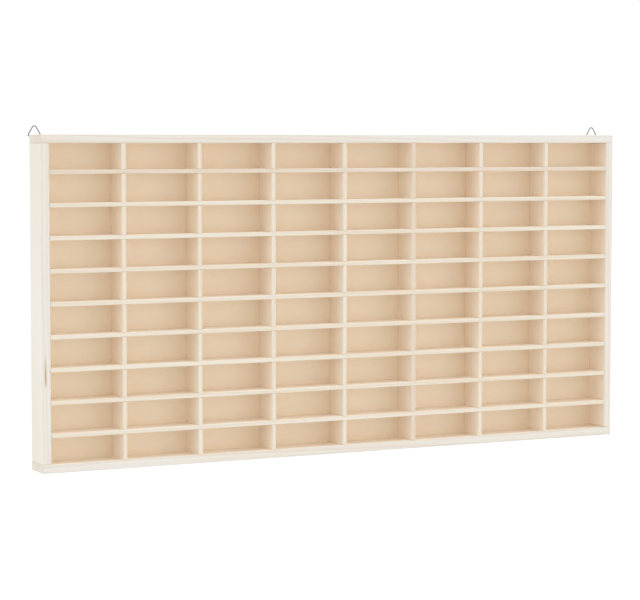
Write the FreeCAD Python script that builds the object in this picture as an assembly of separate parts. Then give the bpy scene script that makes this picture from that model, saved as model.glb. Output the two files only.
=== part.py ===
"""Wall-hung collector display case: a shallow pine box with an egg-crate of shelves and dividers.

Millimetres. +X runs to the right, +Y from the open front to the wall and +Z up.
The origin is the centre of the bottom face.
"""
import FreeCAD, Part
import math
import os

from FreeCAD import Vector

# The whole case, and the compartments across it and up it
case_width = 786.0
case_height = 390.0
case_depth = 38.0
columns = 8
rows = 10

# Pine boards of the outer frame and pine slats of the egg-crate
board_thickness = 10.0
board_arris = 0.6
slat_thickness = 5.0
slat_arris = 0.4
groove_depth = 5.0
groove_stop = 8.0
slot_clearance = 0.1
slat_end_clearance = 0.2
lap_share = 0.5

# Back panel, let into a rebate round the back of the frame
panel_thickness = 3.0
panel_lap = 7.0
panel_clearance = 0.3

# Frame nails through the top and bottom boards into the ends of the side boards
frame_nail_length = 30.0
frame_nail_radius = 0.8
frame_nail_head_radius = 1.6
frame_nail_head_height = 0.9
frame_nail_tip = 2.5
frame_nail_depth_shares = (0.25, 0.60)

# Panel pins through the back panel into the frame
panel_pin_length = 15.0
panel_pin_radius = 0.6
panel_pin_head_radius = 1.3
panel_pin_head_height = 0.6
panel_pin_tip = 1.8
side_pin_first_row = 1
side_pin_row_step = 3
nail_set = 0.3
nail_clearance = 0.05

# Triangular hanger ring, bent from round wire; its sizes follow the middle of the wire
wire_radius = 0.7
ring_width = 14.8
ring_height = 11.6
ring_corner_radius = 1.4
ring_apex_radius = 2.9
ring_inset = 7.0
ring_drop = 1.8

# Strap folded round the base wire of the ring
strap_thickness = 0.7
strap_width = 8.0
strap_eye_clearance = 0.08
strap_neck_radius = 0.8
strap_layer_gap = 0.05

# Round-head screw that holds each strap
screw_length = 12.0
screw_radius = 1.25
screw_tip = 2.5
screw_head_radius = 2.6
screw_head_height = 1.6
screw_recess_width = 0.7
screw_recess_length = 2.8
screw_recess_depth = 0.9
screw_clearance = 0.1
ring_to_screw_gap = 0.6

# How far every cut runs past the surface that it opens
overrun = 1.0

# Sizes that follow from those above
board_left_by_groove = board_thickness - groove_depth
grooved_half_width = case_width / 2 - board_left_by_groove
grooved_height = case_height - 2 * board_left_by_groove
column_pitch = 2 * grooved_half_width / columns
row_pitch = grooved_height / rows
slat_depth = case_depth - panel_thickness
inner_half_width = case_width / 2 - board_thickness
inner_floor = board_thickness
inner_ceiling = case_height - board_thickness
front_y = -case_depth / 2
back_y = case_depth / 2
panel_front_y = front_y + slat_depth
lap_y = front_y + slat_depth * lap_share
slot_half = slat_thickness / 2 + slot_clearance
divider_places = [k * column_pitch - grooved_half_width for k in range(1, columns)]
shelf_places = [board_left_by_groove + k * row_pitch for k in range(1, rows)]
column_middles = [(k + 1 / 2) * column_pitch - grooved_half_width for k in range(columns)]
row_middles = [board_left_by_groove + (k + 1 / 2) * row_pitch for k in range(rows)]
eye_inner_radius = wire_radius + strap_eye_clearance
eye_outer_radius = eye_inner_radius + strap_thickness
ring_y = back_y + eye_outer_radius
ring_z = case_height - ring_drop
hanger_x = case_width / 2 - ring_inset
strap_stack = 2 * strap_thickness + strap_layer_gap
screw_drop = ring_height + wire_radius + ring_to_screw_gap + screw_head_radius


def block(x_span, y_span, z_span):
    """A plain box between the two ends of each span."""
    corner = Vector(x_span[0], y_span[0], z_span[0])
    return Part.makeBox(x_span[1] - x_span[0], y_span[1] - y_span[0], z_span[1] - z_span[0], corner)


def eased(plain, arris):
    """The same box with every arris planed off."""
    return plain.makeChamfer(arris, plain.Edges)


def about(middle, half):
    """The span that reaches half to each side of a middle."""
    return (middle - half, middle + half)


def turned(profile):
    """A solid of revolution about Z from (radius, height) points."""
    points = [Vector(radius, 0, height) for radius, height in profile]
    face = Part.Face(Part.makePolygon(points + points[:1]))
    return face.revolve(Vector(0, 0, 0), Vector(0, 0, 1), 360)


def placed(solid, point, direction):
    """A copy whose +Z now runs along direction and whose origin is at point."""
    copy = solid.copy()
    copy.Placement = FreeCAD.Placement(point, FreeCAD.Rotation(Vector(0, 0, 1), direction))
    return copy


# Nails and pins


def nail(length, radius, head_radius, head_height, tip):
    """A nail that points down, with the top of its head at the origin."""
    return turned([(0, 0), (head_radius, 0), (head_radius, -head_height), (radius, -head_height),
                   (radius, tip - length), (0, -length)])


def nail_hole(length, radius, head_radius, head_height, tip):
    """The hole that the same nail makes, with the sunk place above its head."""
    wide = head_radius + nail_clearance
    narrow = radius + nail_clearance
    mouth = nail_set + overrun
    return turned([(0, mouth), (wide, mouth), (wide, -head_height), (narrow, -head_height),
                   (narrow, tip - length), (0, -length - nail_clearance)])


frame_nail_sizes = (frame_nail_length, frame_nail_radius, frame_nail_head_radius,
                    frame_nail_head_height, frame_nail_tip)
panel_pin_sizes = (panel_pin_length, panel_pin_radius, panel_pin_head_radius,
                   panel_pin_head_height, panel_pin_tip)

frame_nail_spots = []
for nail_x in (board_thickness / 2 - case_width / 2, case_width / 2 - board_thickness / 2):
    for share in frame_nail_depth_shares:
        nail_y = front_y + case_depth * share
        frame_nail_spots.append((Vector(nail_x, nail_y, case_height - nail_set), Vector(0, 0, 1)))
        frame_nail_spots.append((Vector(nail_x, nail_y, nail_set), Vector(0, 0, -1)))

panel_pin_spots = []
for pin_x in column_middles:
    for pin_z in (inner_floor - panel_lap / 2, inner_ceiling + panel_lap / 2):
        panel_pin_spots.append((Vector(pin_x, back_y - nail_set, pin_z), Vector(0, 1, 0)))
for pin_z in row_middles[side_pin_first_row::side_pin_row_step]:
    for pin_x in (-inner_half_width - panel_lap / 2, inner_half_width + panel_lap / 2):
        panel_pin_spots.append((Vector(pin_x, back_y - nail_set, pin_z), Vector(0, 1, 0)))

frame_nails = [placed(nail(*frame_nail_sizes), *spot) for spot in frame_nail_spots]
panel_pins = [placed(nail(*panel_pin_sizes), *spot) for spot in panel_pin_spots]
nail_holes = [placed(nail_hole(*frame_nail_sizes), *spot) for spot in frame_nail_spots]
pin_holes = [placed(nail_hole(*panel_pin_sizes), *spot) for spot in panel_pin_spots]


# Hangers: a wire ring, a folded strap and a screw behind each top corner


def hanger_ring():
    """A closed triangle of round wire that stands on its base wire, along X through the origin."""
    corner_x = ring_width / 2 - ring_corner_radius
    apex_z = ring_height - ring_apex_radius
    rise = apex_z - ring_corner_radius
    reach = math.hypot(corner_x, rise)
    lean = math.atan2(rise, -corner_x) - math.acos((ring_corner_radius - ring_apex_radius) / reach)

    def on_bend(side, centre_x, centre_z, bend, angle):
        return Vector(side * (centre_x + bend * math.cos(angle)), 0, centre_z + bend * math.sin(angle))

    def corner(side, angle):
        return on_bend(side, corner_x, ring_corner_radius, ring_corner_radius, angle)

    def apex(side, angle):
        return on_bend(side, 0, apex_z, ring_apex_radius, angle)

    down = -math.pi / 2
    halfway = (down + lean) / 2
    path = Part.Wire([
        Part.LineSegment(corner(-1, down), corner(1, down)).toShape(),
        Part.Arc(corner(1, down), corner(1, halfway), corner(1, lean)).toShape(),
        Part.LineSegment(corner(1, lean), apex(1, lean)).toShape(),
        Part.Arc(apex(1, lean), apex(1, -down), apex(-1, lean)).toShape(),
        Part.LineSegment(apex(-1, lean), corner(-1, lean)).toShape(),
        Part.Arc(corner(-1, lean), corner(-1, halfway), corner(-1, down)).toShape(),
    ])
    section = Part.Wire(Part.Circle(corner(-1, down), Vector(1, 0, 0), wire_radius).toShape())
    return path.makePipeShell([section], True, False)


def folded_strip(tail):
    """The strap before it is trimmed: flat on the back, round the eye and down over itself."""
    middle_radius = eye_inner_radius + strap_thickness / 2
    neck_radius = strap_neck_radius + strap_thickness / 2
    outer_layer = strap_stack - strap_thickness / 2
    span = middle_radius + neck_radius
    wrap = math.acos((outer_layer - eye_outer_radius + neck_radius) / span)
    eye = Vector(0, eye_outer_radius, 0)
    neck = eye + Vector(0, math.cos(wrap), -math.sin(wrap)) * span

    def round_eye(radius, angle):
        return eye + Vector(0, math.cos(angle), math.sin(angle)) * radius

    def round_neck(radius, angle):
        return neck - Vector(0, math.cos(angle), math.sin(angle)) * radius

    tight = strap_neck_radius
    loose = strap_neck_radius + strap_thickness
    top = math.pi / 2
    ends = [Vector(0, 0, -tail), Vector(0, strap_stack, -tail),
            Vector(0, strap_stack - strap_thickness, -tail), Vector(0, strap_thickness, -tail)]
    outline = Part.Wire([
        Part.LineSegment(ends[0], round_eye(eye_outer_radius, math.pi)).toShape(),
        Part.Arc(round_eye(eye_outer_radius, math.pi), round_eye(eye_outer_radius, top),
                 round_eye(eye_outer_radius, -wrap)).toShape(),
        Part.Arc(round_neck(tight, -wrap), round_neck(tight, -wrap / 2), round_neck(tight, 0)).toShape(),
        Part.LineSegment(round_neck(tight, 0), ends[1]).toShape(),
        Part.LineSegment(ends[1], ends[2]).toShape(),
        Part.LineSegment(ends[2], round_neck(loose, 0)).toShape(),
        Part.Arc(round_neck(loose, 0), round_neck(loose, -wrap / 2), round_neck(loose, -wrap)).toShape(),
        Part.Arc(round_eye(eye_inner_radius, -wrap), round_eye(eye_inner_radius, top),
                 round_eye(eye_inner_radius, math.pi)).toShape(),
        Part.LineSegment(round_eye(eye_inner_radius, math.pi), ends[3]).toShape(),
        Part.LineSegment(ends[3], ends[0]).toShape(),
    ])
    strip = Part.Face(outline).extrude(Vector(strap_width, 0, 0))
    strip.translate(Vector(-strap_width / 2, 0, 0))
    return strip


def hanger_strap():
    """The folded strap with a round end and its screw hole, on the back plane, its eye at height zero."""
    half = strap_width / 2
    strip = folded_strip(screw_drop + half)
    screw_place = Vector(0, -overrun, -screw_drop)
    through = 2 * eye_outer_radius + 2 * overrun
    round_end = Part.makeCylinder(half, through, screw_place, Vector(0, 1, 0))
    straight = block((-half, half), (-overrun, through - overrun), (-screw_drop, eye_outer_radius + overrun))
    hole = Part.makeCylinder(screw_radius + screw_clearance, through, screw_place, Vector(0, 1, 0))
    return strip.common(straight.fuse(round_end)).cut(hole)


def hanger_screw():
    """A round-head screw that points down, with the seat of its head at height zero."""
    bulge = (screw_head_radius ** 2 + screw_head_height ** 2) / (2 * screw_head_height)
    ball = Part.makeSphere(bulge, Vector(0, 0, screw_head_height - bulge))
    head = ball.common(Part.makeCylinder(screw_head_radius + overrun, screw_head_height + overrun))
    shank = turned([(0, 0), (screw_radius, 0), (screw_radius, screw_tip - screw_length),
                    (0, -screw_length)])
    recess_z = (screw_head_height - screw_recess_depth, screw_head_height + overrun)
    long_side = about(0, screw_recess_length / 2)
    short_side = about(0, screw_recess_width / 2)
    cross = block(long_side, short_side, recess_z).fuse(block(short_side, long_side, recess_z))
    return head.fuse(shank).removeSplitter().cut(cross)


def screw_hole():
    """The hole that the screw makes, opened a little above the surface."""
    wide = screw_radius + screw_clearance
    return turned([(0, overrun), (wide, overrun), (wide, screw_tip - screw_length + strap_stack),
                   (0, strap_stack - screw_length - screw_clearance)])


hanger_sides = {"left": -1, "right": 1}
screw_z = ring_z - screw_drop
screw_spots = [Vector(side * hanger_x, back_y, screw_z) for side in hanger_sides.values()]
screw_seat = Vector(0, strap_stack, 0)
screw_holes = [placed(screw_hole(), spot, Vector(0, 1, 0)) for spot in screw_spots]
hanger_screws = [placed(hanger_screw(), spot + screw_seat, Vector(0, 1, 0)) for spot in screw_spots]


# Outer frame and back panel


panel_space = block(about(0, inner_half_width + panel_lap), (panel_front_y, back_y + overrun),
                    (inner_floor - panel_lap, inner_ceiling + panel_lap))
groove_run = (front_y + groove_stop, panel_front_y)
divider_spans = [about(place, slot_half) for place in divider_places]
shelf_spans = [about(place, slot_half) for place in shelf_places]


top_groove = (inner_ceiling - overrun, inner_ceiling + groove_depth)
bottom_groove = (inner_floor - groove_depth, inner_floor + overrun)


def long_board(z_span, groove_z):
    """A full-width board, with stopped grooves for the dividers and a rebate for the back panel."""
    board = eased(block(about(0, case_width / 2), (front_y, back_y), z_span), board_arris)
    grooves = [block(x_span, groove_run, groove_z) for x_span in divider_spans]
    return board.cut(grooves + [panel_space] + nail_holes + pin_holes)


def side_board(side):
    """A board between the long ones, with stopped grooves for the shelves and a rebate for the back panel."""
    x_span = sorted((side * inner_half_width, side * case_width / 2))
    groove_x = sorted((side * (inner_half_width - overrun), side * (inner_half_width + groove_depth)))
    board = eased(block(x_span, (front_y, back_y), (inner_floor, inner_ceiling)), board_arris)
    grooves = [block(groove_x, groove_run, z_span) for z_span in shelf_spans]
    return board.cut(grooves + [panel_space] + nail_holes + pin_holes + screw_holes)


def back_panel():
    """The thin sheet that closes the back, flush with the boards."""
    reach = panel_lap - panel_clearance
    sheet = block(about(0, inner_half_width + reach), (panel_front_y, back_y),
                  (inner_floor - reach, inner_ceiling + reach))
    return sheet.cut(pin_holes + screw_holes)


# Egg-crate: shelves are slotted from the back and dividers from the front, so they cross half and half.
# The front corners of every slat are notched to clear the ends of the stopped grooves.


notch_run = (front_y - overrun, front_y + groove_stop + slot_clearance)
shoulder_x = inner_half_width - slot_clearance
shoulder_floor = inner_floor + slot_clearance
shoulder_ceiling = inner_ceiling - slot_clearance


def shelf(place):
    """One shelf slat at its height."""
    half_length = grooved_half_width - slat_end_clearance
    plain = block(about(0, half_length), (front_y, panel_front_y), about(place, slat_thickness / 2))
    through = about(place, slat_thickness / 2 + overrun)
    slots = [block(x_span, (lap_y, panel_front_y + overrun), through) for x_span in divider_spans]
    past_end = half_length + overrun
    ends = ((-past_end, -shoulder_x), (shoulder_x, past_end))
    notches = [block(x_span, notch_run, through) for x_span in ends]
    return eased(plain, slat_arris).cut(slots + notches)


def divider(place):
    """One divider slat at its place across the case."""
    foot = board_left_by_groove + slat_end_clearance
    head = case_height - foot
    plain = block(about(place, slat_thickness / 2), (front_y, panel_front_y), (foot, head))
    through = about(place, slat_thickness / 2 + overrun)
    slots = [block(through, (front_y - overrun, lap_y), z_span) for z_span in shelf_spans]
    ends = ((foot - overrun, shoulder_floor), (shoulder_ceiling, head + overrun))
    notches = [block(through, notch_run, z_span) for z_span in ends]
    return eased(plain, slat_arris).cut(slots + notches)


pieces = {
    "top_board": long_board((inner_ceiling, case_height), top_groove),
    "bottom_board": long_board((0, inner_floor), bottom_groove),
    "left_side_board": side_board(-1),
    "right_side_board": side_board(1),
    "back_panel": back_panel(),
    "frame_nails": Part.makeCompound(frame_nails),
    "panel_pins": Part.makeCompound(panel_pins),
    "hanger_screws": Part.makeCompound(hanger_screws),
}
for number, place in enumerate(shelf_places, 1):
    pieces[f"shelf_{number}"] = shelf(place)
for number, place in enumerate(divider_places, 1):
    pieces[f"divider_{number}"] = divider(place)
for name, side in hanger_sides.items():
    strap_place = Vector(side * hanger_x, back_y, ring_z)
    ring_place = Vector(side * hanger_x, ring_y, ring_z)
    pieces[f"{name}_hanger_strap"] = placed(hanger_strap(), strap_place, Vector(0, 0, 1))
    pieces[f"{name}_hanger_ring"] = placed(hanger_ring(), ring_place, Vector(0, 0, 1))

os.makedirs("parts", exist_ok=True)
for name, piece in pieces.items():
    piece.exportStep(f"parts/{name}.step")
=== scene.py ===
"""Looks of the wall-hung collector display case: bare pine, a plain back sheet and steel hangers.

Metres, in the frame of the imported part: +X to the right, +Y to the wall, +Z up.
"""

import bpy
import math
import random

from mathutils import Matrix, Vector


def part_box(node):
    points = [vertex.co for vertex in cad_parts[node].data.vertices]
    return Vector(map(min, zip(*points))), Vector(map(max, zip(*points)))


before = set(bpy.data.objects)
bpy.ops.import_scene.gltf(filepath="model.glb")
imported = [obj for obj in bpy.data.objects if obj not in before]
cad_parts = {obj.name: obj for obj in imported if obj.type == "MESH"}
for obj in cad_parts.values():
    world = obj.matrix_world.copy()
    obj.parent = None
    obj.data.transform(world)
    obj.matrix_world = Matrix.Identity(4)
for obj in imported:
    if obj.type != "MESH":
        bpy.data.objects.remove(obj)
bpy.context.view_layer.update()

mm = 0.001
axes = ("X", "Y", "Z")

# Boards: the way that the grain of each one runs, and the axis and side of its face to the compartments
boards = {"top_board": ("X", "Z", -1), "bottom_board": ("X", "Z", 1),
          "left_side_board": ("Z", "X", 1), "right_side_board": ("Z", "X", -1)}
shelves = [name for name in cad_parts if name.startswith("shelf_")]
dividers = [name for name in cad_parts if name.startswith("divider_")]


# Shader maths


class Shade:
    """One socket of a material. Sums, products and powers of values add Math nodes."""

    def __init__(self, tree, socket=None):
        self.tree = tree
        self.socket = socket

    def node(self, kind, settings=None, sockets=None, output=0):
        """Adds a node, makes its settings, fills its sockets and gives one of its outputs, or several."""
        made = self.tree.nodes.new("ShaderNode" + kind)
        for key, value in (settings or {}).items():
            setattr(made, key, value)
        for key, value in (sockets or {}).items():
            if isinstance(value, Shade):
                self.tree.links.new(value.socket, made.inputs[key])
            else:
                made.inputs[key].default_value = value
        if isinstance(output, tuple):
            return tuple(Shade(self.tree, made.outputs[key]) for key in output)
        return Shade(self.tree, made.outputs[output])

    def math(self, operation, *terms):
        return self.node("Math", {"operation": operation}, dict(enumerate(terms)))

    def __add__(self, other):
        return self.math("ADD", self, other)

    __radd__ = __add__

    def __sub__(self, other):
        return self.math("SUBTRACT", self, other)

    def __rsub__(self, other):
        return self.math("SUBTRACT", other, self)

    def __mul__(self, other):
        return self.math("MULTIPLY", self, other)

    __rmul__ = __mul__

    def __truediv__(self, other):
        return self.math("DIVIDE", self, other)

    def __pow__(self, other):
        return self.math("POWER", self, other)

    def __abs__(self):
        return self.math("ABSOLUTE", self)

    def __mod__(self, other):
        return self.math("FLOORED_MODULO", self, other)

    def whole(self):
        """The whole number just under this value."""
        return self.math("FLOOR", self)

    def least(self, other):
        return self.math("MINIMUM", self, other)

    def most(self, other):
        return self.math("MAXIMUM", self, other)

    def rise(self, start, end):
        """0 up to start, 1 from end on, and smooth between them. It falls where end is the lower."""
        return self.node("MapRange", {"interpolation_type": "SMOOTHSTEP"},
                         {"Value": self, "From Min": start, "From Max": end})

    def between(self, first, second):
        """The colour that lies this far from the first to the second."""
        return self.node("Mix", {"data_type": "RGBA"}, {0: self, 6: first, 7: second}, 2)

    def tint(self, tone):
        """This colour times another."""
        return self.node("Mix", {"data_type": "RGBA", "blend_type": "MULTIPLY"},
                         {0: 1.0, 6: self, 7: tone}, 2)


def noise(start, place, cells, detail=2.0, roughness=0.5):
    """Soft noise about 0.5 at a place of three values, with a number of cells to each unit of them."""
    x, y, z = (value * count for value, count in zip(place, cells))
    vector = start.node("CombineXYZ", None, {"X": x, "Y": y, "Z": z})
    return start.node("TexNoise", None, {"Vector": vector, "Scale": 1.0, "Detail": detail,
                                         "Roughness": roughness})


def relief(start, height, strength, depth):
    """The normal of a surface with a fine relief. Depth is the reach of a height of 1."""
    return start.node("Bump", None, {"Strength": strength, "Distance": depth, "Height": height})


def colour(red, green, blue):
    return (red, green, blue, 1.0)


def grey(level):
    return colour(level, level, level)


def new_material(name):
    """An empty material, with the Shade that its nodes start from."""
    material = bpy.data.materials.new(name)
    material.use_nodes = True
    material.node_tree.nodes.clear()
    return material, Shade(material.node_tree)


def parts_of(start, vector):
    """The X, Y and Z of a vector."""
    return start.node("SeparateXYZ", None, {"Vector": vector}, axes)


def surface(start, sockets):
    """Ends a material in a Principled shader."""
    shader = start.node("BsdfPrincipled", None, sockets)
    start.node("OutputMaterial", None, {"Surface": shader}, ())


white = grey(1.0)

# The middle of soft noise, and the steps that it and the turn of a face towards an axis rise between
noise_middle = 0.5
noise_step = (0.3, 0.7)
side_step = (0.6, 0.9)
front_step = (0.5, 0.9)
top_shade_step = (0.8, 0.95)

wood_gloss = 0.35


# Pine

early_pale = colour(0.900, 0.832, 0.728)
early_warm = colour(0.880, 0.790, 0.660)
late_brown = colour(0.700, 0.520, 0.330)
resin_brown = colour(0.560, 0.360, 0.190)
handled_grey = colour(0.540, 0.500, 0.440)
fibre_deep = colour(0.930, 0.925, 0.910)
fibre_pale = grey(1.05)
end_tone = colour(0.900, 0.885, 0.860)
# Painted shade for the upper face of the top board
top_face_shade_tone = colour(0.900, 0.885, 0.850)
# Painted light: a paler, warmer tone for the shaded faces to the compartments, and darker, cooler tones
# for the lit front and outside
shaded_faces_tone = colour(1.005, 0.998, 1.005)
board_lit_faces_tone = colour(0.855, 0.892, 0.950)
slat_lit_faces_tone = colour(0.865, 0.869, 0.852)
# Two slats whose front and outside are darker still
darker_slat_lit_faces_tone = colour(0.815, 0.775, 0.745)
darker_slats = ("shelf_9", "divider_5")

# Trunk: the ring width, and the pith line's distance, turn in degrees and lean for each unit of length
ring_width = 2.6 * mm
pith_distance = (30 * mm, 90 * mm)
pith_turn = (20, 50)
pith_lean = 0.008
wander_reach = 9 * mm
shiver_reach = 0.9 * mm

# Years: how unevenly they follow each other, their noise cells and the row of noise that a piece takes,
# and where in a year the late wood comes and ends
uneven_years = 2.0
uneven_cells = (0.4, 1, 1)
strong_cells = (7.31, 1, 1)
year_rows = (0, 50)
late_start = (0.35, 0.94)
late_end = (1.0, 0.95)
weak_year_share = 0.4

# Noise cells to a metre, along the grain and twice across it, and where a piece begins along it
wander_cells = (1.9, 6, 6)
shiver_cells = (14, 70, 70)
fibre_cells = (7, 820, 820)
drift_cells = (3.1, 22, 22)
canal_cells = (38, 1500, 1500)
run_starts = (1, 9)

# Shares of late wood and resin canals in the colour
late_share = 0.28
canal_share = 0.22
canal_step = (0.69, 0.78)

# Wear along the arrises, and the cells to a metre of its patches
board_wear = 0.20
slat_wear = 0.08
patch_cells = (160, 160, 160)
wear_reach_share = 0.25
least_wear_share = 0.4

# Relief and roughness
pine_relief_strength = 0.35
pine_relief_depth = 0.12 * mm
fibre_height = 0.6
late_height = 0.5
canal_height = -0.5
pine_roughness = 0.62
fibre_roughness = 0.10
late_roughness = -0.08
end_roughness = 0.08
worn_roughness = -0.06

# Resin streak at the front of the left side board: its middle and half its width, how far it sways,
# and the heights that it fades between
streak_x = -389.5 * mm
streak_half_width = 2.1 * mm
streak_sway = 1.5 * mm
streak_foot = (96 * mm, 109 * mm)
streak_head = (112 * mm, 146 * mm)


def pine(piece, along, inner, side, lit_faces_tone, wear):
    """Bare pine, cut from a trunk of its own, with its rings about a pith line outside the board.

    Painted light: the pine comes in a lit and a shaded copy. The lit front and outside are painted
    darker and cooler, and the shaded faces to the compartments keep the paler, warmer tone: those on
    one side of the inner axis, or on both where side is 0.
    """
    low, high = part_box(piece)
    middle = (low + high) / 2
    draw = random.Random(piece)
    material, start = new_material("pine." + piece)
    place, facing = start.node("TexCoord", None, None, ("Object", "Normal"))
    spot = dict(zip(axes, parts_of(start, place)))
    normal = dict(zip(axes, parts_of(start, facing)))
    length = spot[along] - middle[axes.index(along)]
    run = length + draw.uniform(*run_starts)
    deep = spot["Y"] - middle.y
    thin = spot[inner] - middle[axes.index(inner)]
    grain = (run, deep, thin)

    # Rings about the pith line, which lies more in front or behind than to the side
    angle = math.radians(draw.choice((-1, 1)) * draw.uniform(*pith_turn)) + draw.choice((0, math.pi))
    distance = draw.uniform(*pith_distance)
    lean = [draw.uniform(-pith_lean, pith_lean) for _ in range(2)]
    wander = noise(start, grain, wander_cells, detail=1.0) - noise_middle
    shiver = noise(start, grain, shiver_cells, detail=1.0) - noise_middle
    away_deep = deep - distance * math.cos(angle) - length * lean[0]
    away_thin = thin - distance * math.sin(angle) - length * lean[1]
    even_radius = (away_deep * away_deep + away_thin * away_thin) ** 0.5
    radius = even_radius + wander * wander_reach + shiver * shiver_reach
    years = radius / ring_width
    uneven = noise(start, (years, draw.uniform(*year_rows), 0), uneven_cells, detail=0.0)
    year = years + uneven * uneven_years
    season = year % 1.0
    year_noise = noise(start, (year.whole(), draw.uniform(*year_rows), 0), strong_cells, detail=0.0)
    strength = year_noise.rise(*noise_step) * (1 - weak_year_share) + weak_year_share
    late = season.rise(*late_start) * season.rise(*late_end) * strength

    # Fibres, slow changes of colour and resin canals
    fibre = noise(start, grain, fibre_cells, detail=3.0, roughness=0.62)
    drift = noise(start, grain, drift_cells, detail=1.0).rise(*noise_step)
    canal = noise(start, grain, canal_cells, detail=1.0).rise(*canal_step)

    # Faces inside the compartments and end grain
    inside = (normal[inner] * side if side else abs(normal[inner])).rise(*side_step)
    end = abs(normal[along]).rise(*side_step)

    # Handled arrises: the middle one of the distances to the box's faces is the distance to an arris
    reach = [(spot[axis] - low[k]).least(high[k] - spot[axis]) for k, axis in enumerate(axes)]
    small = reach[0].least(reach[1])
    large = reach[0].most(reach[1])
    to_arris = small.most(large.least(reach[2]))
    patch = noise(start, spot.values(), patch_cells).rise(*noise_step)
    wear_reach = wear_reach_share * min(high - low)
    worn = to_arris.rise(wear_reach, 0.0) * (patch * (1 - least_wear_share) + least_wear_share)

    wood = drift.between(early_pale, early_warm)
    wood = (late * late_share).between(wood, late_brown)
    wood = (canal * canal_share).between(wood, resin_brown)
    if piece == "left_side_board":
        across = abs(spot["X"] - streak_x + shiver * streak_sway).rise(streak_half_width, 0.0)
        up = spot["Z"].rise(*streak_foot) * spot["Z"].rise(*reversed(streak_head))
        in_front = (normal["Y"] * -1.0).rise(*front_step)
        wood = (across * up * in_front).between(wood, resin_brown)
    wood = wood.tint(fibre.between(fibre_deep, fibre_pale))
    # Painted light: the shaded faces to the compartments stay paler and warmer, and the lit front and
    # outside go darker and cooler
    wood = wood.tint(inside.between(lit_faces_tone, shaded_faces_tone))
    wood = wood.tint(end.between(white, end_tone))
    if piece == "top_board":
        # Painted shade: the upper face is painted darker where the light from above falls on it
        wood = wood.tint(normal["Z"].rise(*top_shade_step).between(white, top_face_shade_tone))
    wood = (worn * wear).between(wood, handled_grey)

    height = fibre * fibre_height + late * late_height + canal * canal_height
    rough = (pine_roughness + fibre * fibre_roughness + late * late_roughness
             + end * end_roughness + worn * worn_roughness)
    surface(start, {"Base Color": wood, "Roughness": rough, "Specular IOR Level": wood_gloss,
                    "Normal": relief(start, height, pine_relief_strength, pine_relief_depth)})
    return material


# Back sheet

sheet_deep = colour(0.879, 0.768, 0.611)
sheet_pale = colour(0.891, 0.786, 0.632)
fleck_brown = colour(0.620, 0.450, 0.280)
unsanded_deep = colour(0.870, 0.792, 0.702)
unsanded_pale = colour(0.915, 0.848, 0.770)
bundle_brown = colour(0.500, 0.350, 0.210)

# Noise cells to a metre, and the steps and shares of what stands out in the sheet
mottle_cells = (60, 60, 60)
flake_cells = (900, 900, 1500)
sanding_cells = (5, 5, 900)
cloud_cells = (32, 32, 32)
bundle_cells = (150, 150, 420)
mottle_step = (0.2, 0.8)
fleck_step = (0.60, 0.74)
fleck_share = 0.16
bundle_step = (0.62, 0.74)
bundle_share = 0.40

sheet_relief_strength = 0.2
sheet_relief_depth = 0.05 * mm
sheet_roughness = 0.55
mottle_roughness = 0.15


def back_sheet(piece):
    """Smooth tan fibreboard with fine flecks and faint sanding lines.

    Behind it keeps its unsanded skin, which is darker and cloudy and shows brown bundles of fibre.
    """
    material, start = new_material("fibreboard." + piece)
    place, facing = start.node("TexCoord", None, None, ("Object", "Normal"))
    spot = parts_of(start, place)
    behind = parts_of(start, facing)[axes.index("Y")].rise(*front_step)
    mottle = noise(start, spot, mottle_cells, detail=4.0, roughness=0.6)
    flake = noise(start, spot, flake_cells)
    sanding = noise(start, spot, sanding_cells)
    cloud = noise(start, spot, cloud_cells, detail=5.0, roughness=0.7)
    bundle = noise(start, spot, bundle_cells, detail=1.0).rise(*bundle_step) * behind

    sheet = mottle.rise(*mottle_step).between(sheet_deep, sheet_pale)
    sheet = (flake.rise(*fleck_step) * fleck_share).between(sheet, fleck_brown)
    skin = cloud.rise(*noise_step).between(unsanded_deep, unsanded_pale)
    sheet = sheet.tint(behind.between(white, skin))
    sheet = (bundle * bundle_share).between(sheet, bundle_brown)

    rough = sheet_roughness + mottle * mottle_roughness
    surface(start, {"Base Color": sheet, "Roughness": rough, "Specular IOR Level": wood_gloss,
                    "Normal": relief(start, flake + sanding, sheet_relief_strength, sheet_relief_depth)})
    return material


# Steel: the bright and dull tones of each kind and the cells to a metre of its drawing lines

strap_steel = (colour(0.47, 0.47, 0.46), colour(0.36, 0.36, 0.35), (300, 900, 300))
wire_steel = (grey(0.29), grey(0.22), (500, 500, 500))
nail_steel = (colour(0.56, 0.55, 0.53), colour(0.42, 0.41, 0.39), (900, 900, 900))

speck_tone = colour(0.18, 0.17, 0.16)
sheen_cells = (420, 420, 420)
speck_cells = (2600, 2600, 2600)
speck_step = (0.66, 0.76)
speck_share = 0.4
speck_height = -0.5
steel_relief_strength = 0.25
steel_relief_depth = 0.03 * mm
steel_roughness = 0.30
sheen_roughness = 0.16
speck_roughness = 0.25


def steel(name, bright, dull, line_cells):
    """Plated or drawn steel with a cloudy sheen, fine lines and dull specks where the plating is thin."""
    material, start = new_material(name)
    spot = parts_of(start, start.node("TexCoord", None, None, "Object"))
    sheen = noise(start, spot, sheen_cells, detail=3.0, roughness=0.6)
    line = noise(start, spot, line_cells)
    speck = noise(start, spot, speck_cells, detail=1.0).rise(*speck_step)

    metal = sheen.rise(*noise_step).between(bright, dull)
    metal = (speck * speck_share).between(metal, speck_tone)
    height = line + speck * speck_height
    rough = steel_roughness + sheen * sheen_roughness + speck * speck_roughness
    surface(start, {"Base Color": metal, "Metallic": 1.0, "Roughness": rough,
                    "Normal": relief(start, height, steel_relief_strength, steel_relief_depth)})
    return material


# Finish of each piece


def dress(material, *pieces):
    """Gives CAD nodes their finish."""
    for piece in pieces:
        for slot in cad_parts[piece].material_slots:
            slot.material = material


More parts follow.
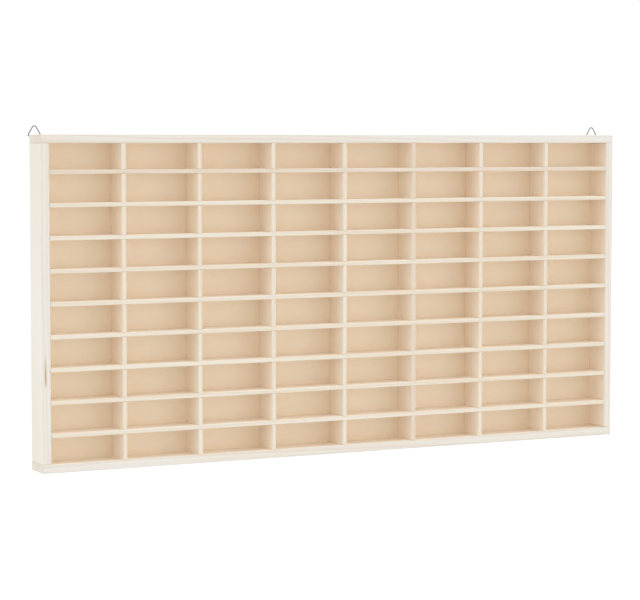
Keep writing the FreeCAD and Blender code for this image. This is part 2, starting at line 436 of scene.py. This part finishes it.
for name, (along, inner, side) in boards.items():
    dress(pine(name, along, inner, side, board_lit_faces_tone, board_wear), name)
for names, along, inner in ((shelves, "X", "Z"), (dividers, "Z", "X")):
    for name in names:
        tone = darker_slat_lit_faces_tone if name in darker_slats else slat_lit_faces_tone
        dress(pine(name, along, inner, 0, tone, slat_wear), name)
dress(back_sheet("back_panel"), "back_panel")
dress(steel("zinc.straps", *strap_steel), "left_hanger_strap", "right_hanger_strap", "hanger_screws")
dress(steel("zinc.wire", *wire_steel), "left_hanger_ring", "right_hanger_ring")
dress(steel("steel.nails", *nail_steel), "frame_nails", "panel_pins")


# Floor, light and camera

floor_reach = 40.0
floor_drop = 0.1 * mm
floor_tones = (grey(0.05), grey(0.06))
floor_cells = (3, 3, 3)
floor_roughness = 0.9
floor_glow = 1.0

# Soft lights: degrees from straight in front, to the right, rise for each unit along, and strength
soft_lights = ((-95, 0.1, 0.95), (-45, 0.7, 0.34), (60, 0.05, 1.30), (153, 0.1, 0.33))
soft_light_power = 4
room_glow = 0.72
overhead_strength = 1.10
overhead_spread = 60
light_bounces = 24
matt_bounces = 20

# Camera: its lens and film width in millimetres, and its turn to the right and tilt down in degrees
camera_lens = 129.134
film_width = 36
camera_place = (-1.3164, -2.4934, 0.38176)
camera_turn = 27.3861
camera_tilt = 3.9476
sight_reach = 200


def floor():
    """A wide floor just under the case. It shows plain white and throws no light back at it."""
    corners = [(-1, -1), (1, -1), (1, 1), (-1, 1)]
    points = [(x * floor_reach, y * floor_reach, -floor_drop) for x, y in corners]
    mesh = bpy.data.meshes.new("floor")
    mesh.from_pydata(points, [], [(0, 1, 2, 3)])
    piece = bpy.data.objects.new("floor", mesh)
    bpy.context.scene.collection.objects.link(piece)
    material, start = new_material("pale_floor")
    spot = parts_of(start, start.node("TexCoord", None, None, "Object"))
    pale = noise(start, spot, floor_cells).between(*floor_tones)
    surface(start, {"Base Color": pale, "Roughness": floor_roughness, "Specular IOR Level": 0.0,
                    "Emission Color": white, "Emission Strength": floor_glow})
    mesh.materials.append(material)
    piece.visible_diffuse = False
    piece.visible_shadow = False


def studio_light():
    """An even white room with wide soft lights in front, behind and on both sides, and one above."""
    scene = bpy.context.scene
    world = bpy.data.worlds.new("white_room")
    scene.world = world
    world.use_nodes = True
    world.node_tree.nodes.clear()
    start = Shade(world.node_tree)
    way = start.node("TexCoord", None, None, "Generated")
    glow = room_glow
    for turn, rise, strength in soft_lights:
        angle = math.radians(turn)
        towards = Vector((math.sin(angle), -math.cos(angle), rise)).normalized()
        facing = start.node("VectorMath", {"operation": "DOT_PRODUCT"}, {0: way, 1: towards}, "Value")
        glow = facing.most(0.0) ** soft_light_power * strength + glow
    shader = start.node("Background", None, {"Color": white, "Strength": glow})
    start.node("OutputWorld", None, {"Surface": shader}, ())

    lamp = bpy.data.lights.new("overhead", "SUN")
    lamp.energy = overhead_strength
    lamp.angle = math.radians(overhead_spread)
    scene.collection.objects.link(bpy.data.objects.new("overhead", lamp))
    scene.view_settings.view_transform = "Standard"
    scene.cycles.max_bounces = light_bounces
    scene.cycles.diffuse_bounces = matt_bounces


def camera():
    """A camera to the left of the case, nearly as high as its top, that looks a little down."""
    data = bpy.data.cameras.new("camera")
    data.sensor_width = film_width
    data.lens = camera_lens
    data.clip_end = sight_reach
    eye = bpy.data.objects.new("camera", data)
    eye.location = camera_place
    eye.rotation_euler = (math.radians(90 - camera_tilt), 0, math.radians(-camera_turn))
    bpy.context.scene.collection.objects.link(eye)
    bpy.context.scene.camera = eye


floor()
studio_light()
camera()
